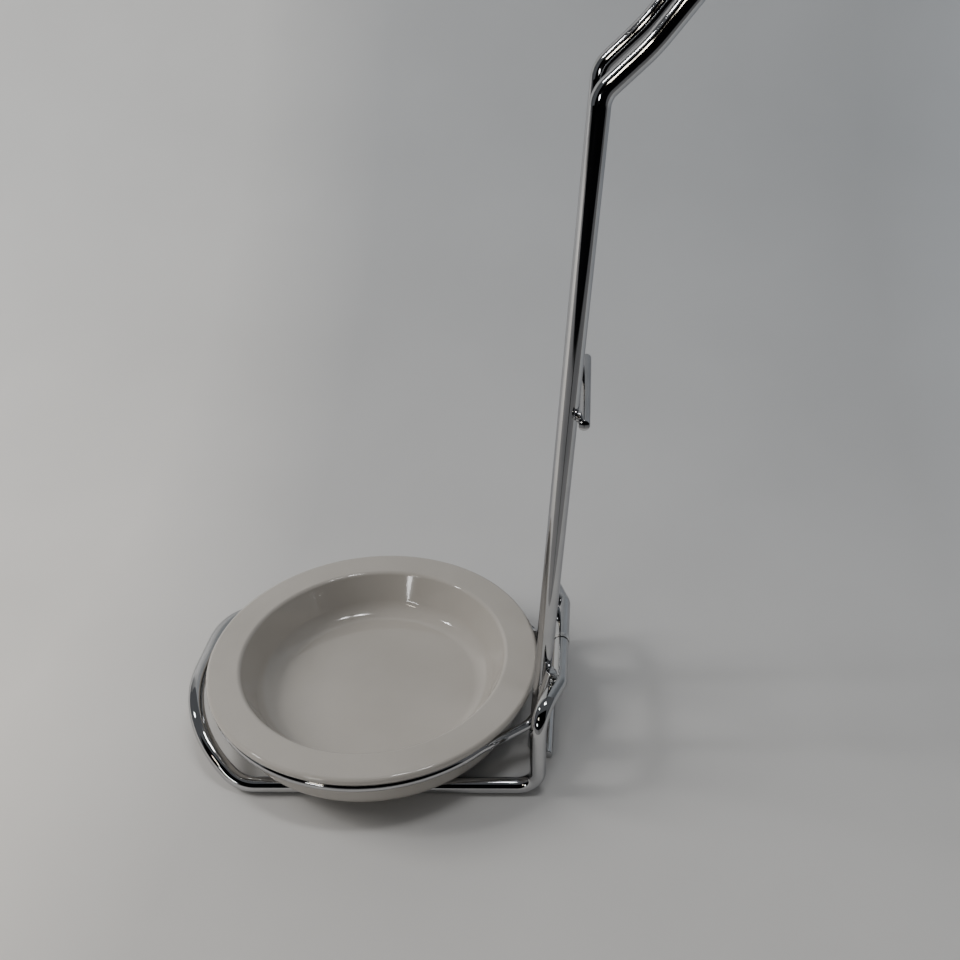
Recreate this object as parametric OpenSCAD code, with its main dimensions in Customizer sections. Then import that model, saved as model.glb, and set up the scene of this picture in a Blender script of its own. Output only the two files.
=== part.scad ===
// Razor stand: bent and welded chrome wire that holds a razor above a lift-out ceramic dish.
// Frame: +Z up, +Y to the back (the upright side), origin on the table under the dish's axis.

/* [Dish] */
// Radius of the dish over its lip, mm
dish_r = 51.5; // [50.6:0.1:52.1]
// Height of the rim's top face above the table, mm
rim_z = 22; // [21:0.1:24]
// Thickness of the rounded lip, mm
lip_t = 2.6; // [2:0.1:3.4]
// Radius of the bowl's mouth, mm
mouth_r = 41.2; // [36:0.1:43]
// Height of the bowl's floor above the table, mm
floor_z = 8.4; // [7.8:0.1:11]
// Outer radius of the dish's side just under the lip, mm
side_r = 47.4; // [45:0.1:47.6]

/* [Dish ring] */
// Diameter of the ring's wire and of the two cross rods, mm
thin_d = 3; // [2.6:0.1:3.2]
// Radius of the ring's centre line, mm
ring_r = 49.5; // [49.4:0.1:50.2]
// Angle from straight back where each end leaves the circle, degrees
ring_gap = 45; // [42:1:50]
// Height of the ring's turned-up tips, mm
tip_z = 34.8; // [33:0.1:40]

/* [Base wire] */
// Diameter of the base wire, mm
base_d = 4.8; // [4:0.1:5.2]
// Half distance between the rails at the front, mm
rail_x_front = 38.3; // [36:0.1:40]
// Half distance between the rails at the back, mm
rail_x_back = 31.7; // [30:0.1:34]
// Distance from the dish's axis forward to the front corners, mm
front_y = 34.2; // [33:0.1:38]
// Angle of the raised front loop above the table, degrees
toe_angle = 37; // [10:1:38]
// Length of the raised front loop along its slope, mm
toe_l = 24.4; // [24:0.1:30]
// Distance from the dish's axis back to the risers, mm
riser_y = 53.2; // [52:0.1:55]
// Height of the cross-bar's centre line, mm
bar_z = 30.4; // [28:0.1:33]
// Distance from the dish's axis back to the cross-bar, mm
bar_y = 58.4; // [58.1:0.1:58.8]
// Half length of the cross-bar between its bends, mm
bar_x = 17.9; // [17:0.1:20]

/* [Uprights] */
// Diameter of the upright wire, mm
up_d = 4.8; // [4.4:0.1:4.8]
// Half distance between the two uprights, mm
up_x = 14.3; // [12:0.1:14.4]
// Distance from the dish's axis back to the uprights at table level, mm
up_y = 51.5; // [51.3:0.1:51.9]
// Backward lean of the uprights, degrees
lean = 3.8; // [3.2:0.1:4.2]
// Height of the backward kink, mm
kink_z = 190.7; // [150:0.1:220]
// Slope of the neck straight after the kink, degrees
neck_slope = 42.6; // [38:0.1:48]
// Slope of the neck where the arch starts, degrees
arch_slope = 51.2; // [49:0.1:60]
// Bend radius of the arch, mm
arch_r = 24; // [18:0.5:32]
// Forward run of the two arms after the arch, mm
arm_l = 34; // [20:1:45]
// Rise of the loop at the front of the arms, degrees
tip_angle = 35; // [15:1:50]

/* [Cross rods] */
// Height of the middle cross rod, mm
mid_z = 115.3; // [60:0.1:160]
// Half length of each cross rod, mm
rod_x = 19.1; // [17:0.1:22]

/* [Hidden] */
$fn = 64;
rim_inner_round = 1.2;
bowl_slope = 20;
bowl_fillet = 6;
side_slope = 5;
side_round = 4;
dish_gap = 0.3;
dish_z = base_d + dish_gap;
rim_root_w = 4;
side_top_in = 1;
cut_over = 1;
foot_recess_r = 36;
foot_recess = 0.8;
ring_z = rim_z - lip_t - dish_gap - thin_d / 2;
ring_kink_l = 2;
ring_kink_r = 12;
ring_end_r = 4.5;
ring_foot_x = 18.4;
ring_foot_y = 51.4;
ring_foot_z = 14.6;
ring_tip_y = 56.1;
corner_r = 6;
riser_r = 7;
bar_bend_r = 4.5;
front_bend_r = 12;
toe_r = 32;
toe_x = 27.4;
kink_r = 6;
neck_l = 13.5;
neck_r = 40;
neck_top_l = 11.5;
tip_r = 12;
tip_l = 25;
loop_flat = 0.4;
loop_r = up_x - loop_flat;
fillet_r = 2;
ring_fillet_r = 1.7;
foot_weld_lift = 0.1;
foot_rod_back = 0.1;
bar_half_weld = 0.8;
sleeve_l = 0.3;
sleeve_step = 0.02;
sleeve_gap = 0.05;
weld_lip = 0.2;
arm_slope = 185;

chrome = [0.62, 0.63, 0.65];
weld_grey = [0.5, 0.5, 0.52];
glaze = [0.86, 0.85, 0.83];

// ---- geometry of bent wire ----
function unit(v) = v / norm(v);
function clamp(x) = min(1, max(-1, x));
function turn(p, i, n) =
    acos(clamp(unit(p[i] - p[(i + n - 1) % n]) * unit(p[(i + 1) % n] - p[i])));
function setback(p, r, i, n) = r[i] * tan(turn(p, i, n) / 2);
function bend_start(p, r, i, n) =
    p[i] - unit(p[i] - p[(i + n - 1) % n]) * setback(p, r, i, n);
function bend_end(p, r, i, n) =
    p[i] + unit(p[(i + 1) % n] - p[i]) * setback(p, r, i, n);
function flip(v) = [-v[0], v[1], v[2]];
// A path given for the +X side, closed by its own mirror image.
function both_sides(p) = concat(p, [for (i = [len(p) - 1:-1:0]) flip(p[i])]);
function both_radii(r) = concat(r, [for (i = [len(r) - 1:-1:0]) r[i]]);

// Straight round wire from a to b, each end drawn back by cut.
module straight(a, b, d, cut = [0, 0]) {
    v = b - a;
    l = norm(v) - cut[0] - cut[1];
    if (l > 0.01)
        translate(a + unit(v) * cut[0])
            rotate([0, acos(v[2] / norm(v)), atan2(v[1], v[0])])
                cylinder(d = d, h = l);
}

// A sleeve a hair thicker than the wire over the place where a straight meets an elbow.
module sleeve(c, u, d) {
    straight(c - u * sleeve_l / 2, c + u * sleeve_l / 2, d + 2 * sleeve_step);
}

// One elbow: a piece of torus between the two straights that meet at corner i.
module elbow(p, r, i, n, d) {
    u = unit(p[i] - p[(i + n - 1) % n]);
    w = unit(p[(i + 1) % n] - p[i]);
    z = unit(cross(u, w));
    x = -cross(z, u);
    c = bend_start(p, r, i, n) - x * r[i];
    multmatrix([
        [x[0], u[0], z[0], c[0]],
        [x[1], u[1], z[1], c[1]],
        [x[2], u[2], z[2], c[2]],
        [0, 0, 0, 1]
    ])
        rotate_extrude(angle = turn(p, i, n))
            translate([r[i], 0])
                circle(d = d);
    sleeve(bend_start(p, r, i, n), u, d);
    sleeve(bend_end(p, r, i, n), w, d);
}

// Open wire through the points p with bend radii r; the end points have radius 0.
module open_wire(p, r, d) {
    n = len(p);
    for (i = [0:n - 2])
        straight(
            i == 0 ? p[0] : bend_end(p, r, i, n),
            i == n - 2 ? p[n - 1] : bend_start(p, r, i + 1, n),
            d,
            [i == 0 ? 0 : sleeve_gap, i == n - 2 ? 0 : sleeve_gap]
        );
    for (i = [1:n - 2])
        elbow(p, r, i, n, d);
}

// Closed wire: every point is a bend.
module closed_wire(p, r, d) {
    n = len(p);
    for (i = [0:n - 1]) {
        straight(
            bend_end(p, r, i, n),
            bend_start(p, r, (i + 1) % n, n),
            d,
            [sleeve_gap, sleeve_gap]
        );
        elbow(p, r, i, n, d);
    }
}

// ---- paths, +X side ----
rail_z = base_d / 2 + sleeve_step;
toe_y = front_y + toe_l * cos(toe_angle);
toe_z = rail_z + toe_l * sin(toe_angle);
base_side = [
    [toe_x, -toe_y, toe_z],
    [rail_x_front, -front_y, rail_z],
    [rail_x_back, riser_y, rail_z],
    [rail_x_back, riser_y, bar_z],
    [bar_x, bar_y, bar_z]
];
base_radii = [toe_r, front_bend_r, corner_r, riser_r, bar_bend_r];

function up_at(z) = up_y + z * tan(lean);
function step_yz(a, len, heading) = [up_x, a[1] + len * cos(heading), a[2] + len * sin(heading)];
arch_turn = arm_slope - arch_slope;
arch_set = arch_r * tan(arch_turn / 4);
kink = [up_x, up_at(kink_z), kink_z];
neck = step_yz(kink, neck_l, neck_slope);
arch_low = step_yz(neck, neck_top_l + arch_set, arch_slope);
arch_top = step_yz(arch_low, 2 * arch_set, arch_slope + arch_turn / 2);
arm_end = step_yz(arch_top, arch_set + arm_l, arm_slope);
loop_tip = step_yz(arm_end, tip_l, 180 - tip_angle);
up_foot_z = up_d / 2 * sin(lean);
up_side = [
    [up_x, up_at(up_foot_z), up_foot_z], kink, neck, arch_low, arch_top, arm_end, loop_tip
];
up_radii = [0, kink_r, neck_r, arch_r, arch_r, tip_r, loop_r];

ring_off = [ring_r * sin(ring_gap), ring_r * cos(ring_gap), ring_z];
ring_along = [-cos(ring_gap), sin(ring_gap), 0];
ring_foot = [ring_foot_x, ring_foot_y, ring_foot_z];
ring_tip = [ring_foot_x, ring_tip_y, tip_z];
ring_end = [
    ring_off + sleeve_gap * ring_along, ring_off + ring_kink_l * ring_along, ring_foot, ring_tip
];
ring_radii = [0, ring_kink_r, ring_end_r, 0];
function ring_end_y(z) =
    ring_foot_y + (ring_tip_y - ring_foot_y) * (z - ring_foot_z) / (tip_z - ring_foot_z);

mid_y = up_at(mid_z) + (up_d + thin_d) / 2;
foot_y = up_y + (up_d + thin_d) / 2 + foot_rod_back;
bar_contact = [up_x, (up_at(bar_z) + up_d / 2 + bar_y - base_d / 2) / 2, bar_z];

// ---- pieces ----
// Base: one thick wire, rails on the table, front loop raised, risers and cross-bar at the back.
module base_wire() {
    color(chrome)
        closed_wire(both_sides(base_side), both_radii(base_radii), base_d);
}

// Raised seam where the base wire's two ends are butt-welded, middle of the cross-bar.
module base_weld() {
    color(weld_grey)
        translate([-bar_half_weld, bar_y, bar_z])
            rotate([0, 90, 0])
                difference() {
                    cylinder(d = base_d + 2 * weld_lip, h = 2 * bar_half_weld);
                    translate([0, 0, -cut_over])
                        cylinder(d = base_d, h = 2 * (bar_half_weld + cut_over));
                }
}

// Uprights: one hairpin wire, up one side, round the front loop and down the other.
module upright_wire() {
    color(chrome)
        open_wire(both_sides(up_side), both_radii(up_radii), up_d);
}

// Nuggets between the uprights and the cross-bar.
module upright_welds() {
    color(weld_grey)
        for (s = [-1, 1])
            translate([s * bar_contact[0], bar_contact[1], bar_contact[2]])
                sphere(r = fillet_r);
}

// Straight rod across the back of the uprights.
module cross_rod(y, z) {
    color(chrome)
        straight([-rod_x, y, z], [rod_x, y, z], thin_d);
}

module mid_rod() {
    cross_rod(mid_y, mid_z);
}

module foot_rod() {
    cross_rod(foot_y, thin_d / 2);
}

// Nuggets between a cross rod and the two uprights.
module rod_welds(y, z) {
    color(weld_grey)
        for (s = [-1, 1])
            translate([s * up_x, y - thin_d / 2, z])
                sphere(r = thin_d / 2);
}

module mid_rod_welds() {
    rod_welds(mid_y, mid_z);
}

module foot_rod_welds() {
    rod_welds(foot_y, thin_d / 2 + foot_weld_lift);
}

// Ring under the lip, open at the back, its ends turned up on to the base wire.
module dish_ring() {
    color(chrome) {
        translate([0, 0, ring_z])
            rotate([0, 0, 90 + ring_gap])
                rotate_extrude(angle = 360 - 2 * ring_gap)
                    translate([ring_r, 0])
                        circle(d = thin_d);
        for (s = [0, 1])
            mirror([s, 0, 0]) {
                sleeve(ring_off, ring_along, thin_d);
                open_wire(ring_end, ring_radii, thin_d);
            }
    }
}

// Welds that hold the ring's ends on the cross-bar's corners and on the uprights.
module ring_welds() {
    on_bar = [ring_foot_x, (ring_end_y(bar_z) + bar_y) / 2, bar_z + ring_fillet_r];
    low = bar_z - fillet_r - ring_fillet_r;
    on_upright = [(up_x + up_d / 2 + ring_foot_x - thin_d / 2) / 2, ring_end_y(low), low];
    color(weld_grey)
        for (s = [0, 1])
            mirror([s, 0, 0]) {
                translate(on_bar)
                    sphere(r = ring_fillet_r);
                translate(on_upright)
                    sphere(r = ring_fillet_r);
            }
}

// Half section of the dish: radius along X, height along Y.
module dish_section() {
    lip_r = lip_t / 2;
    side_c = side_r - (side_round + (rim_z - lip_t - dish_z - side_round) * sin(side_slope))
        / cos(side_slope);
    wall_c = mouth_r - (rim_z - floor_z - bowl_fillet) * tan(bowl_slope)
        - bowl_fillet / cos(bowl_slope);
    round_c = mouth_r + rim_inner_round * (1 - sin(bowl_slope)) / cos(bowl_slope);
    difference() {
        union() {
            translate([dish_r - lip_r, rim_z - lip_r])
                circle(r = lip_r);
            translate([mouth_r - rim_root_w, rim_z - lip_t])
                square([dish_r - lip_r - mouth_r + rim_root_w, lip_t]);
            translate([side_c, dish_z + side_round])
                circle(r = side_round);
            polygon([
                [0, dish_z],
                [side_c, dish_z],
                [side_c + side_round * cos(side_slope),
                    dish_z + side_round * (1 - sin(side_slope))],
                [side_r, rim_z - lip_t],
                [side_r - side_top_in, rim_z],
                [0, rim_z]
            ]);
        }
        translate([wall_c, floor_z + bowl_fillet])
            circle(r = bowl_fillet);
        polygon([
            [0, floor_z],
            [wall_c, floor_z],
            [wall_c + bowl_fillet * cos(bowl_slope),
                floor_z + bowl_fillet * (1 - sin(bowl_slope))],
            [mouth_r, rim_z],
            [round_c, rim_z],
            [round_c, rim_z + cut_over],
            [0, rim_z + cut_over]
        ]);
    }
}

// Lift-out glazed ceramic dish: broad flat rim, shallow bowl, flat underside.
module dish() {
    color(glaze)
        difference() {
            rotate_extrude()
                dish_section();
            translate([0, 0, dish_z - cut_over])
                cylinder(r = foot_recess_r, h = foot_recess + cut_over);
        }
}

base_wire();
base_weld();
upright_wire();
upright_welds();
mid_rod();
mid_rod_welds();
foot_rod();
foot_rod_welds();
dish_ring();
ring_welds();
dish();
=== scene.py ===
import math

import bpy
import numpy as np
from mathutils import Matrix, Vector


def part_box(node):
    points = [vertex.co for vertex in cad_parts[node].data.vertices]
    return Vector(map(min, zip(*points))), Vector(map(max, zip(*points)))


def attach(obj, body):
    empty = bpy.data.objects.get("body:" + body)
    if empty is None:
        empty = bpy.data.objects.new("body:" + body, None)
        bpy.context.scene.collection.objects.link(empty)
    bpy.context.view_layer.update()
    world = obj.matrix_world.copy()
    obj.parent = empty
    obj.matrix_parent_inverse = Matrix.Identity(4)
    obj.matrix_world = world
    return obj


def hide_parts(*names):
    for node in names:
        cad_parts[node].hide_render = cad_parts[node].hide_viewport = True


# Looks for the razor stand: bent chrome wire, its welds and a glazed ceramic dish.
# All lengths are in metres in the CAD frame: +Z up, +Y to the uprights, origin on the table.

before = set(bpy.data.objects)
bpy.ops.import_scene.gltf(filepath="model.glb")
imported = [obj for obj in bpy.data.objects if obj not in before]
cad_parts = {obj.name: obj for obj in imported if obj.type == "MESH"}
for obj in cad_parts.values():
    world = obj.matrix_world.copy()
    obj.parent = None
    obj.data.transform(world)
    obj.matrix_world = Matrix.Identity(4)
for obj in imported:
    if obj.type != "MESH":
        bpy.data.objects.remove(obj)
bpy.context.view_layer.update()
MM = 0.001


# ---- driving sizes, read from the CAD nodes ----

def span(node):
    """Lowest and highest corner of a CAD node."""
    low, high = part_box(node)
    return np.array(low), np.array(high)


UP_HIGH = span("upright_wire")[1]
ROD_LOW, ROD_HIGH = span("mid_rod")
FOOT_LOW, FOOT_HIGH = span("foot_rod")
DISH_LOW, DISH_HIGH = span("dish")
SEAM_LOW, SEAM_HIGH = span("base_weld")
NUGGET_LOW, NUGGET_HIGH = span("upright_welds")

THIN_D = ROD_HIGH[2] - ROD_LOW[2]
BAR_Y, BAR_Z = (SEAM_LOW[1:] + SEAM_HIGH[1:]) / 2
NUGGET_R = (NUGGET_HIGH[2] - NUGGET_LOW[2]) / 2
UP_X = NUGGET_HIGH[0] - NUGGET_R
UP_D = 2 * (UP_HIGH[0] - UP_X)

# Visual surfaces sit this far inside the CAD's, so that they never pass it.
SKIN = 0.05 * MM
# Points of a centre line closer than this are one point.
SAME = 0.01 * MM

# ---- bends, in the same order as the CAD paths ----
# The CAD's sleeves over its joints stand out by STEP, so the rails are higher by as much.
STEP = 0.02 * MM
BASE_D = 4.8 * MM
RAIL_X_FRONT = 38.3 * MM
RAIL_X_BACK = 31.7 * MM
RAIL_Z = BASE_D / 2 + STEP
FRONT_Y = 34.2 * MM
RISER_Y = 53.2 * MM
BAR_X = 17.9 * MM
TOE_X = 27.4 * MM
TOE_L = 24.4 * MM
TOE_ANGLE = 37
BASE_RADII = [r * MM for r in (32, 12, 6, 7, 4.5)]

UP_Y = 51.5 * MM
LEAN = 3.8
KINK_Z = 190.7 * MM
NECK_SLOPE = 42.6
ARCH_SLOPE = 51.2
ARM_SLOPE = 185
TIP_ANGLE = 35
ARCH_R = 24 * MM
NECK_L = 13.5 * MM
NECK_TOP_L = 11.5 * MM
ARM_L = 34 * MM
TIP_L = 25 * MM
UP_RADII = [0, 6 * MM, 40 * MM, ARCH_R, ARCH_R, 12 * MM, UP_X - 0.4 * MM]

RING_R = 49.5 * MM
# From the rim's top face down to the ring's centre line.
RIM_DROP = 4.4 * MM
RING_GAP = 45
RING_KINK_L, RING_KINK_R = 2 * MM, 12 * MM
RING_END_R = 4.5 * MM
RING_FOOT = np.array([18.4, 51.4, 14.6]) * MM
RING_TIP = np.array([18.4, 56.1, 34.8]) * MM

DISH_R = DISH_HIGH[0]
RIM_Z = DISH_HIGH[2]
RING_Z = RIM_Z - RIM_DROP
DISH_Z = DISH_LOW[2]
LIP_T = 2.6 * MM
MOUTH_R = 41.2 * MM
FLOOR_Z = 8.4 * MM
SIDE_R = 47.4 * MM
FOOT_RECESS = 0.8 * MM
RECESS_R = 35.5 * MM
FOOT_IN_R = 36.2 * MM
FOOT_OUT_R = 46.0 * MM
BOWL_LOW_R = 35.6 * MM
FLOOR_FLAT_R = 16 * MM
POLE_R = 0.5 * MM


# ---- bent wire ----

def unit(v):
    return v / np.linalg.norm(v)


def arc_points(corner, before, after, radius, step):
    """Points round one bend, from the end of one straight to the start of the next."""
    u, w = unit(corner - before), unit(after - corner)
    turn = math.acos(max(-1.0, min(1.0, float(u @ w))))
    setback = radius * math.tan(turn / 2)
    start = corner - u * setback
    axis = unit(np.cross(u, w))
    inward = np.cross(axis, u)
    centre = start + inward * radius
    count = max(4, int(math.ceil(turn * radius / step)), int(math.ceil(math.degrees(turn) / 4)))
    angles = np.linspace(0, turn, count + 1)
    return [centre - inward * radius * math.cos(a) + u * radius * math.sin(a) for a in angles]


def bent_path(points, radii, closed, step=1.2 * MM):
    """Centre line of a wire through corner points, bends rounded and straights divided."""
    points = [np.array(p, float) for p in points]
    n = len(points)
    line = []
    for i in range(n):
        if not closed and i in (0, n - 1):
            line.append(points[i])
        else:
            line += arc_points(points[i], points[i - 1], points[(i + 1) % n], radii[i], step)
    # Two bends that touch share a point, which is kept once.
    line = [p for i, p in enumerate(line) if i == 0 or np.linalg.norm(p - line[i - 1]) > SAME]
    dense = []
    pairs = zip(line, line[1:] + line[:1]) if closed else zip(line, line[1:])
    for a, b in pairs:
        count = max(1, int(np.linalg.norm(b - a) / step))
        dense += [a + (b - a) * k / count for k in range(count)]
    if not closed:
        dense.append(line[-1])
    return dense


def both_sides(side):
    flip = [(-p[0], p[1], p[2]) for p in reversed(side)]
    return [tuple(p) for p in side] + flip


def mesh_object(name, verts, faces, smooth=True):
    mesh = bpy.data.meshes.new(name)
    mesh.from_pydata([tuple(v) for v in verts], [], faces)
    mesh.update()
    mesh.polygons.foreach_set("use_smooth", [smooth] * len(mesh.polygons))
    obj = bpy.data.objects.new(name, mesh)
    bpy.context.scene.collection.objects.link(obj)
    return obj


def sweep_frames(line, closed):
    """Tangent and two side directions at each point, carried along without twist."""
    pts = np.array(line)
    if closed:
        tangents = np.roll(pts, -1, 0) - np.roll(pts, 1, 0)
    else:
        tangents = np.gradient(pts, axis=0)
    tangents /= np.linalg.norm(tangents, axis=1)[:, None]
    side = unit(np.cross(tangents[0], [0.31, 0.17, 0.93]))
    frames = []
    for t in tangents:
        side = unit(side - t * (side @ t))
        frames.append((t, side, np.cross(t, side)))
    return pts, frames


def wire(name, line, diameter, closed, around=28, end_round=0.35 * MM):
    """Round wire along a centre line. Open ends are cut square with a slightly broken edge."""
    pts, frames = sweep_frames(line, closed)
    radius = diameter / 2 - SKIN
    angles = [2 * math.pi * k / around for k in range(around)]
    rings = []
    for p, (t, a, b) in zip(pts, frames):
        rings.append([p + radius * (math.cos(x) * a + math.sin(x) * b) for x in angles])
    if not closed:
        rings = cut_end(pts, frames, radius, angles, end_round, rings)
    verts = [v for ring in rings for v in ring]
    n = len(rings)
    faces = []
    for i in range(n if closed else n - 1):
        shift = closing_shift(rings, around) if closed and i == n - 1 else 0
        for k in range(around):
            j = (i + 1) % n
            k2 = (k + 1) % around
            faces.append((i * around + k, i * around + k2,
                          j * around + (k2 + shift) % around, j * around + (k + shift) % around))
    if not closed:
        faces.append(tuple(reversed(range(around))))
        faces.append(tuple((n - 1) * around + k for k in range(around)))
    return mesh_object(name, verts, faces)


def closing_shift(rings, around):
    """How many steps the first ring is turned against the last, in a closed wire."""
    first, last = np.array(rings[0]), np.array(rings[-1])
    gaps = [np.linalg.norm(np.roll(first, -s, 0) - last) for s in range(around)]
    return int(np.argmin(gaps))


def cut_end(pts, frames, radius, angles, edge, rings):
    """Rings that turn the two open ends in through a small rounded edge."""
    def ring(p, a, b, r):
        return [p + r * (math.cos(x) * a + math.sin(x) * b) for x in angles]

    def end(i, outward):
        t, a, b = frames[i]
        rows = []
        for q in (60, 30, 0):
            back = edge * (1 - math.cos(math.radians(90 - q)))
            r = radius - edge * (1 - math.cos(math.radians(q)))
            rows.append(ring(pts[i] - outward * t * (edge - edge * math.sin(math.radians(q))), a, b, r))
        return rows

    head = end(0, -1)
    tail = end(len(pts) - 1, 1)
    return head + rings[1:-1] + tail[::-1]


def base_side():
    toe_y = FRONT_Y + TOE_L * math.cos(math.radians(TOE_ANGLE))
    toe_z = RAIL_Z + TOE_L * math.sin(math.radians(TOE_ANGLE))
    return [
        (TOE_X, -toe_y, toe_z),
        (RAIL_X_FRONT, -FRONT_Y, RAIL_Z),
        (RAIL_X_BACK, RISER_Y, RAIL_Z),
        (RAIL_X_BACK, RISER_Y, BAR_Z),
        (BAR_X, BAR_Y, BAR_Z),
    ]


def up_at(z):
    return UP_Y + z * math.tan(math.radians(LEAN))


def step_yz(a, length, heading):
    h = math.radians(heading)
    return (UP_X, a[1] + length * math.cos(h), a[2] + length * math.sin(h))


def up_side():
    turn = ARM_SLOPE - ARCH_SLOPE
    setback = ARCH_R * math.tan(math.radians(turn / 4))
    kink = (UP_X, up_at(KINK_Z), KINK_Z)
    neck = step_yz(kink, NECK_L, NECK_SLOPE)
    arch_low = step_yz(neck, NECK_TOP_L + setback, ARCH_SLOPE)
    arch_top = step_yz(arch_low, 2 * setback, ARCH_SLOPE + turn / 2)
    arm_end = step_yz(arch_top, setback + ARM_L, ARM_SLOPE)
    tip = step_yz(arm_end, TIP_L, 180 - TIP_ANGLE)
    foot = UP_D / 2 * math.sin(math.radians(LEAN))
    return [(UP_X, up_at(foot), foot), kink, neck, arch_low, arch_top, arm_end, tip]


def ring_line():
    """Round the dish from one turned-up end to the other."""
    gap = math.radians(RING_GAP)
    along = np.array([-math.cos(gap), math.sin(gap), 0])
    off = np.array([RING_R * math.sin(gap), RING_R * math.cos(gap), RING_Z])
    corners = [off, off + RING_KINK_L * along, RING_FOOT, RING_TIP]
    end = bent_path(corners, [0, RING_KINK_R, RING_END_R, 0], False)
    steps = 220
    angles = np.linspace(gap, 2 * math.pi - gap, steps)
    loop = [np.array([RING_R * math.sin(a), RING_R * math.cos(a), RING_Z]) for a in angles]
    other = [p * np.array([-1, 1, 1]) for p in end]
    return end[::-1] + loop[1:-1] + other


# ---- materials ----

def new_material(name):
    mat = bpy.data.materials.new(name)
    mat.use_nodes = True
    nodes, links = mat.node_tree.nodes, mat.node_tree.links
    nodes.clear()
    out = nodes.new("ShaderNodeOutputMaterial")
    bsdf = nodes.new("ShaderNodeBsdfPrincipled")
    links.new(bsdf.outputs["BSDF"], out.inputs["Surface"])
    return mat, nodes, links, bsdf


def object_noise(nodes, links, scale, detail=3.0, stretch=(1, 1, 1)):
    coords = nodes.new("ShaderNodeTexCoord")
    mapping = nodes.new("ShaderNodeMapping")
    mapping.inputs["Scale"].default_value = stretch
    tex = nodes.new("ShaderNodeTexNoise")
    tex.inputs["Scale"].default_value = scale
    tex.inputs["Detail"].default_value = detail
    links.new(coords.outputs["Object"], mapping.inputs["Vector"])
    links.new(mapping.outputs["Vector"], tex.inputs["Vector"])
    return tex.outputs["Fac"]


def ramp(nodes, links, source, stops):
    node = nodes.new("ShaderNodeValToRGB")
    node.color_ramp.elements[0].position = stops[0][0]
    node.color_ramp.elements[0].color = (*stops[0][1], 1)
    node.color_ramp.elements[1].position = stops[-1][0]
    node.color_ramp.elements[1].color = (*stops[-1][1], 1)
    for position, color in stops[1:-1]:
        node.color_ramp.elements.new(position).color = (*color, 1)
    links.new(source, node.inputs["Fac"])
    return node.outputs["Color"]


def along_axis(nodes, links, axis, low, high):
    """0 to 1 between two places on one axis."""
    coords = nodes.new("ShaderNodeTexCoord")
    split = nodes.new("ShaderNodeSeparateXYZ")
    part = nodes.new("ShaderNodeMapRange")
    part.inputs["From Min"].default_value = low
    part.inputs["From Max"].default_value = high
    links.new(coords.outputs["Object"], split.inputs["Vector"])
    links.new(split.outputs[axis], part.inputs["Value"])
    return part.outputs["Result"]


def multiply(nodes, links, first, second):
    """Product of two colours."""
    mix = nodes.new("ShaderNodeMix")
    mix.data_type = "RGBA"
    mix.blend_type = "MULTIPLY"
    mix.inputs["Factor"].default_value = 1.0
    links.new(first, mix.inputs[6])
    links.new(second, mix.inputs[7])
    return mix.outputs[2]


def spread(nodes, links, source, low, high):
    """Maps 0 to 1 on to low to high."""
    node = nodes.new("ShaderNodeMapRange")
    node.inputs["To Min"].default_value = low
    node.inputs["To Max"].default_value = high
    links.new(source, node.inputs["Value"])
    return node.outputs["Result"]


def bump(nodes, links, bsdf, source, strength, distance):
    node = nodes.new("ShaderNodeBump")
    node.inputs["Strength"].default_value = strength
    node.inputs["Distance"].default_value = distance
    links.new(source, node.inputs["Height"])
    links.new(node.outputs["Normal"], bsdf.inputs["Normal"])


def chrome_material():
    mat, nodes, links, bsdf = new_material("chrome_plate")
    bsdf.inputs["Metallic"].default_value = 1.0
    cloud = object_noise(nodes, links, 90, 4)
    links.new(ramp(nodes, links, cloud, [(0.3, (0.53, 0.535, 0.545)), (0.7, (0.60, 0.602, 0.61))]),
              bsdf.inputs["Base Color"])
    links.new(spread(nodes, links, object_noise(nodes, links, 420, 5), 0.02, 0.075),
              bsdf.inputs["Roughness"])
    bsdf.inputs["Specular Tint"].default_value = (0.6, 0.6, 0.62, 1)
    bump(nodes, links, bsdf, object_noise(nodes, links, 260, 2), 0.015, 0.0002)
    return mat


def weld_material():
    mat, nodes, links, bsdf = new_material("plated_weld")
    bsdf.inputs["Metallic"].default_value = 1.0
    cloud = object_noise(nodes, links, 900, 4)
    links.new(ramp(nodes, links, cloud, [(0.35, (0.42, 0.41, 0.40)), (0.65, (0.78, 0.78, 0.78))]),
              bsdf.inputs["Base Color"])
    links.new(spread(nodes, links, cloud, 0.08, 0.3), bsdf.inputs["Roughness"])
    bump(nodes, links, bsdf, object_noise(nodes, links, 1600, 4), 0.4, 0.0003)
    return mat


def glaze_material():
    mat, nodes, links, bsdf = new_material("white_glaze")
    cloud = object_noise(nodes, links, 38, 4)
    # The glaze is given a warm grey, much darker than white glaze: this is painted shade over the whole
    # dish, standing in for dimmer light on it. The noise between the two greys is random tone.
    links.new(ramp(nodes, links, cloud, [(0.3, (0.420, 0.394, 0.358)), (0.7, (0.455, 0.428, 0.392))]),
              bsdf.inputs["Base Color"])
    links.new(spread(nodes, links, object_noise(nodes, links, 300, 4), 0.05, 0.11),
              bsdf.inputs["Roughness"])
    bsdf.inputs["IOR"].default_value = 1.52
    bsdf.inputs["Coat Weight"].default_value = 0.5
    bsdf.inputs["Coat Roughness"].default_value = 0.03
    bump(nodes, links, bsdf, object_noise(nodes, links, 60, 2), 0.06, 0.0006)
    return mat


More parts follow.
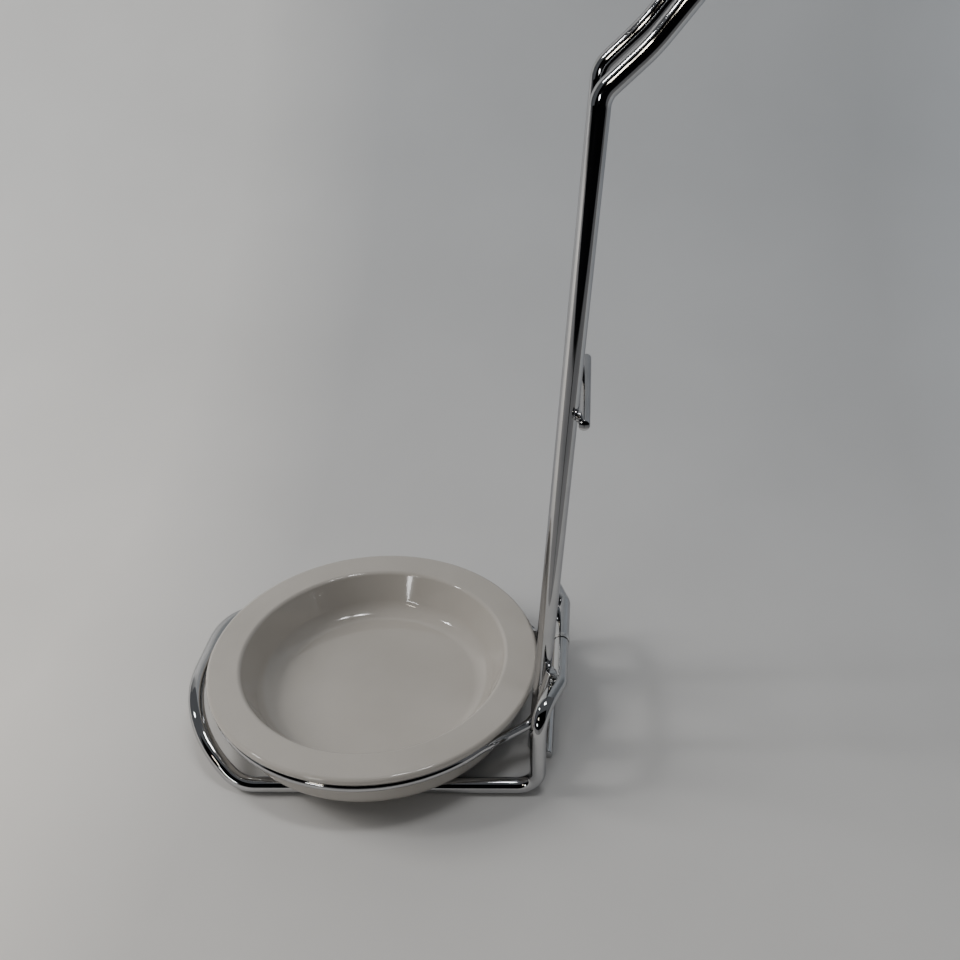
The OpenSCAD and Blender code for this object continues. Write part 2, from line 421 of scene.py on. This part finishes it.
def floor_material():
    mat, nodes, links, bsdf = new_material("pale_floor")
    # Painted light and shade on the floor: the depth ramp paints it darker towards the back and up the
    # wall, and lighter towards the viewer. The across ramp paints it brightest at the far left (-Y),
    # darker through the middle and lighter again at the right. Only the noise is random tone.
    painted_depth_shade = ramp(nodes, links, along_axis(nodes, links, "X", -0.30, 0.10),
                 [(0.0, (0.68, 0.70, 0.72)), (0.5, (0.80, 0.80, 0.80)), (1.0, (0.93, 0.91, 0.88))])
    painted_across_shade = ramp(nodes, links, along_axis(nodes, links, "Y", -0.15, 0.35),
                  [(0.06, (1.0, 0.98, 0.95)), (0.21, (0.73, 0.73, 0.73)), (0.70, (0.73, 0.74, 0.75)),
                   (0.88, (0.92, 0.95, 0.98))])
    cloud = ramp(nodes, links, object_noise(nodes, links, 7, 4),
                 [(0.3, (0.90, 0.90, 0.90)), (0.7, (1.0, 1.0, 1.0))])
    tone = multiply(nodes, links, multiply(nodes, links, painted_depth_shade, painted_across_shade), cloud)
    links.new(tone, bsdf.inputs["Base Color"])
    bsdf.inputs["Roughness"].default_value = 0.6
    return mat


# ---- pieces ----

def add_wires(chrome):
    base = wire("base_frame", bent_path(both_sides(base_side()), BASE_RADII + BASE_RADII[::-1], True),
                BASE_D, True, around=40)
    up = wire("hairpin", bent_path(both_sides(up_side()), UP_RADII + UP_RADII[::-1], False),
              UP_D, False, around=32)
    ring = wire("ring", ring_line(), THIN_D, False, around=32)
    mid = wire("rod_mid", rod_line(ROD_LOW, ROD_HIGH), THIN_D, False, around=32)
    foot = wire("rod_foot", rod_line(FOOT_LOW, FOOT_HIGH), THIN_D, False, around=32)
    for obj, node in ((base, "base_wire"), (up, "upright_wire"), (ring, "dish_ring"),
                      (mid, "mid_rod"), (foot, "foot_rod")):
        obj.data.materials.append(chrome)
        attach(obj, "stand")
        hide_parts(node)


def rod_line(low, high):
    y, z = (low[1] + high[1]) / 2, (low[2] + high[2]) / 2
    return bent_path([(high[0], y, z), (low[0], y, z)], [0, 0], False)


def lathe(name, profile, around=192):
    """Turns a half section round the Z axis and closes it at both poles."""
    verts, faces = [], []
    for k in range(around):
        a = 2 * math.pi * k / around
        verts += [(r * math.cos(a), r * math.sin(a), z) for r, z in profile]
    m = len(profile)
    for k in range(around):
        for i in range(m - 1):
            a, b = k * m + i, ((k + 1) % around) * m + i
            faces.append((a, b, b + 1, a + 1))
    faces.append(tuple(k * m for k in reversed(range(around))))
    faces.append(tuple(k * m + m - 1 for k in range(around)))
    return mesh_object(name, verts, faces)


def fillet(points, radii):
    """Rounds the corners of a half section; the ends stay."""
    out = [points[0]]
    for i in range(1, len(points) - 1):
        if radii[i] <= 0:
            out.append(points[i])
            continue
        p = [np.array([*q, 0.0]) for q in (points[i], points[i - 1], points[i + 1])]
        arc = arc_points(p[0], p[1], p[2], radii[i], 0.4 * MM)
        out += [(float(q[0]), float(q[1])) for q in arc]
    out.append(points[-1])
    return out


def dish_profile():
    """From the middle of the underside, round the lip, to the middle of the bowl's floor."""
    lip_low = RIM_Z - LIP_T
    outer = DISH_R - SKIN
    # Each corner: radius from the axis, height, and rounding in millimetres.
    corners = [
        (POLE_R, DISH_Z + FOOT_RECESS, 0),
        (RECESS_R, DISH_Z + FOOT_RECESS, 0.3),
        (FOOT_IN_R, DISH_Z + SKIN, 0.3),
        (FOOT_OUT_R, DISH_Z + SKIN, 3.9),
        (SIDE_R, lip_low + 0.1 * MM, 0.5),
        (outer, lip_low, 1.25),
        (outer, RIM_Z - SKIN, 1.25),
        (MOUTH_R, RIM_Z - 0.15 * MM, 1.6),
        (BOWL_LOW_R, FLOOR_Z + 0.1 * MM, 7.0),
        (FLOOR_FLAT_R, FLOOR_Z, 20),
        (POLE_R, FLOOR_Z, 0),
    ]
    return fillet([(r, z) for r, z, rounding in corners], [rounding * MM for r, z, rounding in corners])


def add_dish(glaze):
    obj = lathe("dish_body", dish_profile())
    obj.data.materials.append(glaze)
    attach(obj, "dish")
    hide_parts("dish")


def finish_welds(weld):
    for name in ("base_weld", "upright_welds", "mid_rod_welds", "foot_rod_welds", "ring_welds"):
        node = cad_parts[name]
        node.data.materials.clear()
        node.data.materials.append(weld)


# ---- stage ----

def add_floor(mat):
    """Flat towards the camera, swept up behind the stand in one bend."""
    front, back, rise, half_width = 0.9, -0.05, 0.9, 1.2
    bend_r, steps = 0.35, 24
    profile = [(front, 0.0), (back, 0.0)]
    for k in range(1, steps + 1):
        a = math.radians(90 * k / steps)
        profile.append((back - bend_r * math.sin(a), bend_r * (1 - math.cos(a))))
    profile.append((back - bend_r, rise))
    verts, faces = [], []
    for x, z in profile:
        verts += [(x, -half_width, z), (x, half_width, z)]
    for i in range(len(profile) - 1):
        faces.append((2 * i, 2 * i + 2, 2 * i + 3, 2 * i + 1))
    floor = mesh_object("floor", verts, faces)
    floor.data.materials.append(mat)


def area(name, location, target, size, power, color=(1, 1, 1), along=None):
    """Rectangular light aimed at target. Its first side runs along the given direction."""
    data = bpy.data.lights.new(name, "AREA")
    data.shape = "RECTANGLE"
    data.size, data.size_y = size
    data.energy = power
    data.color = color
    obj = bpy.data.objects.new(name, data)
    bpy.context.scene.collection.objects.link(obj)
    obj.location = location
    aim = Vector(target) - Vector(location)
    turn = aim.to_track_quat("-Z", "Y").to_matrix()
    if along:
        back = -aim.normalized()
        first = (Vector(along) - back * Vector(along).dot(back)).normalized()
        turn = Matrix((first, back.cross(first), back)).transposed()
    obj.rotation_euler = turn.to_euler()
    return obj


def matte_card(name, verts, faces, stops, span_x):
    """Matte card that only shiny surfaces see. Its tone runs along X over span_x."""
    mat, nodes, links, bsdf = new_material(name)
    links.new(ramp(nodes, links, along_axis(nodes, links, "X", *span_x), stops),
              bsdf.inputs["Base Color"])
    bsdf.inputs["Roughness"].default_value = 1.0
    bsdf.inputs["Specular IOR Level"].default_value = 0.0
    card = mesh_object(name, verts, faces, smooth=False)
    card.data.materials.append(mat)
    card.visible_camera = False
    card.visible_diffuse = False
    card.visible_shadow = False


def add_dark_room():
    """What the chrome sees on the viewer's side: a shaded cloth, then an unlit room."""
    near, wall, wide, low, top = 0.085, 1.15, 2.0, 0.0015, 1.7
    verts = []
    for x, z in ((near, low), (wall, low), (wall, top)):
        verts += [(x, -wide, z), (x, wide, z)]
    shaded, unlit = (0.24, 0.24, 0.245), (0.006, 0.006, 0.007)
    matte_card("viewer_side", verts, [(0, 1, 3, 2), (2, 3, 5, 4)],
               [(0.0, (0.34, 0.335, 0.33)), (0.10, shaded), (0.175, shaded), (0.21, unlit), (1.0, unlit)],
               (near, wall))
    far, over = 0.32, 0.002
    core = [(near, 0.060, over), (near, 0.066, over), (far, 0.085, over), (far, 0.035, over)]
    matte_card("viewer_shadow", core, [(0, 1, 2, 3)],
               [(0.0, (0.20, 0.20, 0.20)), (0.5, (0.07, 0.07, 0.07)), (1.0, (0.01, 0.01, 0.01))],
               (near, far))


def add_lights():
    """Two soft lights for the surfaces, and lamps and windows that also show in reflections."""
    on_dish, on_neck = (0, 0, 0.02), (0.014, 0.065, 0.20)
    window_run = (0.467, 0.635, -0.59)
    soft = area("soft_key", (0.0, -0.62, 0.5), (0, 0, 0), (0.35, 0.35), 3.2, (1, 0.975, 0.94))
    soft.visible_glossy = False
    fill = area("soft_top", (0.1, 0.1, 1.4), (0, 0, 0), (0.9, 0.9), 1.3)
    fill.visible_glossy = False
    area("lamp_a", (0.10, -0.85, 0.95), on_dish, (0.09, 0.14), 1.1)
    area("lamp_b", (0.10, 0.10, 1.1), on_dish, (0.09, 0.16), 1.3)
    area("lamp_c", (0.10, 0.27, 1.1), on_dish, (0.08, 0.10), 0.8)
    area("window_a", (0.87, -0.43, 0.21), (0.014, 0.065, 0.19), (0.22, 0.045), 0.45,
         along=window_run)
    area("window_b", (0.80, -0.43, 0.58), on_neck, (0.20, 0.045), 0.35, (1, 0.9, 0.74),
         along=window_run)
    world = bpy.data.worlds.new("room")
    bpy.context.scene.world = world
    world.use_nodes = True
    nodes, links = world.node_tree.nodes, world.node_tree.links
    nodes.clear()
    out = nodes.new("ShaderNodeOutputWorld")
    back = nodes.new("ShaderNodeBackground")
    back.inputs["Color"].default_value = (0.11, 0.114, 0.12, 1)
    back.inputs["Strength"].default_value = 1.0
    links.new(back.outputs["Background"], out.inputs["Surface"])


CAMERA_AT = (233.73 * MM, 62.34 * MM, 234.57 * MM)
CAMERA_PITCH, CAMERA_YAW, CAMERA_ROLL = 32.12, -6.64, -1.65
FOCAL_RATIO = 1010.2 / 960


def add_camera():
    """Pitch is downward from level, yaw is from straight towards -X, roll is about the view."""
    pitch, yaw, roll = (math.radians(v) for v in (CAMERA_PITCH, CAMERA_YAW, CAMERA_ROLL))
    ahead = Vector((-math.cos(pitch) * math.cos(yaw), math.cos(pitch) * math.sin(yaw), -math.sin(pitch)))
    right = Vector((math.sin(yaw), math.cos(yaw), 0))
    up = right.cross(ahead)
    r = math.cos(roll) * right + math.sin(roll) * up
    u = -math.sin(roll) * right + math.cos(roll) * up
    data = bpy.data.cameras.new("camera")
    data.sensor_width = 36
    data.lens = 36 * FOCAL_RATIO
    data.clip_start = 0.01
    obj = bpy.data.objects.new("camera", data)
    bpy.context.scene.collection.objects.link(obj)
    turn = Matrix((r, u, -ahead)).transposed()
    obj.matrix_world = Matrix.Translation(CAMERA_AT) @ turn.to_4x4()
    bpy.context.scene.camera = obj


add_wires(chrome_material())
add_dish(glaze_material())
finish_welds(weld_material())
add_floor(floor_material())
add_dark_room()
add_lights()
add_camera()
